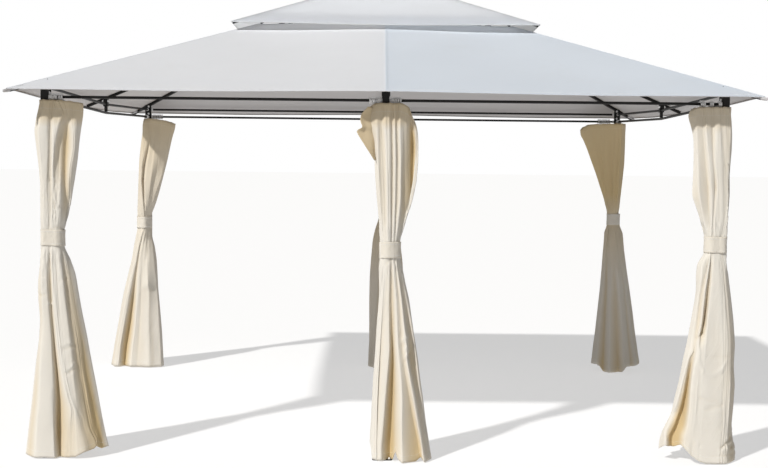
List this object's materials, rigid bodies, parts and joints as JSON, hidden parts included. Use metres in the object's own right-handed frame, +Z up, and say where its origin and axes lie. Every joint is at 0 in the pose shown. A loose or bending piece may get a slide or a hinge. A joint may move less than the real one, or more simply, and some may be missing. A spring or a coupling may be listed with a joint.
{
  "type": "garden gazebo",
  "caption": "Rectangular garden gazebo: tube frame on six posts, two-tier fabric roof with a vent, and gathered curtains tied round the posts.",
  "frame": {"origin": "on the ground at the middle of the gazebo's plan", "axes": "+X along the long front, to the right seen from the front; +Y from the front to the back; +Z up"},
  "size_m": [4.1458, 3, 2.72],
  "materials": {
    "frame_paint": "near-black brown powder coat, satin",
    "roof_fabric": "pale grey-white woven polyester, matt",
    "curtain": "cream woven polyester, matt"
  },
  "bodies": {
    "root": {"back_rail_lower_left": "frame_paint", "back_rail_lower_right": "frame_paint", "back_rail_upper_left": "frame_paint", "back_rail_upper_right": "frame_paint", "crown_ring": "frame_paint", "curtain_back_left": "curtain", "curtain_back_middle": "curtain", "curtain_back_right": "curtain", "curtain_front_left": "curtain", "curtain_front_middle": "curtain", "curtain_front_right": "curtain", "front_rail_lower_left": "frame_paint", "front_rail_lower_right": "frame_paint", "front_rail_upper_left": "frame_paint", "front_rail_upper_right": "frame_paint", "hip_rib_back_left": "frame_paint", "hip_rib_back_right": "frame_paint", "hip_rib_front_left": "frame_paint", "hip_rib_front_right": "frame_paint", "main_canopy": "roof_fabric", "mid_rib_back": "frame_paint", "mid_rib_front": "frame_paint", "mid_rib_left": "frame_paint", "mid_rib_right": "frame_paint", "mid_strut_left": "frame_paint", "mid_strut_right": "frame_paint", "post_back_left": "frame_paint", "post_back_middle": "frame_paint", "post_back_right": "frame_paint", "post_front_left": "frame_paint", "post_front_middle": "frame_paint", "post_front_right": "frame_paint", "side_rail_lower_left": "frame_paint", "side_rail_lower_right": "frame_paint", "side_rail_upper_left": "frame_paint", "side_rail_upper_right": "frame_paint", "tie_back_left": "curtain", "tie_back_middle": "curtain", "tie_back_right": "curtain", "tie_front_left": "curtain", "tie_front_middle": "curtain", "tie_front_right": "curtain", "top_canopy": "roof_fabric", "top_frame": "frame_paint"}
  },
  "joints": []
}
